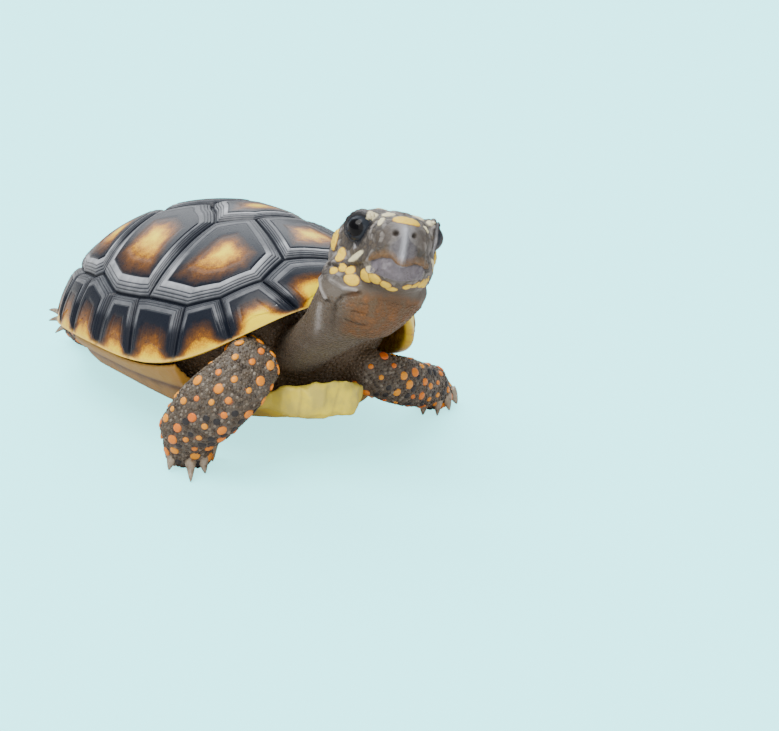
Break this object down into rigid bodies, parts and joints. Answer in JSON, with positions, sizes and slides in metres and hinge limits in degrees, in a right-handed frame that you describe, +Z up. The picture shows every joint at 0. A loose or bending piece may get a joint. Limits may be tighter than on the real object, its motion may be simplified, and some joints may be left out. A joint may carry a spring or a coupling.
{
  "type": "juvenile red-footed tortoise, still life-size model",
  "caption": "Young red-footed tortoise walking with its head raised: dark domed shell with golden scute centres, yellow plastron, orange-scaled legs.",
  "frame": {"origin": "middle of the bounding box at floor level, under the shell", "axes": "-Y towards the tortoise's front (its head turns a little to its right), +X to the animal's left, +Z up"},
  "size_m": [0.0868, 0.1274, 0.0622],
  "materials": {
    "carapace_horn": "glossy slate-black horn with raised growth rings and golden-yellow areolae",
    "plastron_horn": "satin yellow horn with brown growth lines",
    "skin": "granular grey-brown skin with orange and yellow raised scales",
    "beak": "satin grey-brown horn, paler at the biting edge",
    "claw": "satin horn, paler towards the tip",
    "eye": "wet gloss, near-black pupil and blue-grey iris"
  },
  "bodies": {
    "root": {"carapace": "carapace_horn", "plastron": "plastron_horn", "trunk": "skin", "head": "skin", "jaw": "skin", "beak_upper": "beak", "beak_lower": "beak", "eye_right": "eye", "eye_left": "eye", "neck": "skin", "tail": "skin", "foreleg_right_upper": "skin", "foreleg_right_lower": "skin", "foreleg_left_upper": "skin", "foreleg_left_lower": "skin", "hindleg_right_upper": "skin", "hindleg_right_lower": "skin", "hindleg_left_upper": "skin", "hindleg_left_lower": "skin", "forefoot_right": "skin", "claw_forefoot_right_1": "claw", "claw_forefoot_right_2": "claw", "claw_forefoot_right_3": "claw", "claw_forefoot_right_4": "claw", "claw_forefoot_right_5": "claw", "forefoot_left": "skin", "claw_forefoot_left_1": "claw", "claw_forefoot_left_2": "claw", "claw_forefoot_left_3": "claw", "claw_forefoot_left_4": "claw", "claw_forefoot_left_5": "claw", "hindfoot_right": "skin", "claw_hindfoot_right_1": "claw", "claw_hindfoot_right_2": "claw", "claw_hindfoot_right_3": "claw", "claw_hindfoot_right_4": "claw", "hindfoot_left": "skin", "claw_hindfoot_left_1": "claw", "claw_hindfoot_left_2": "claw", "claw_hindfoot_left_3": "claw", "claw_hindfoot_left_4": "claw"}
  },
  "joints": []
}
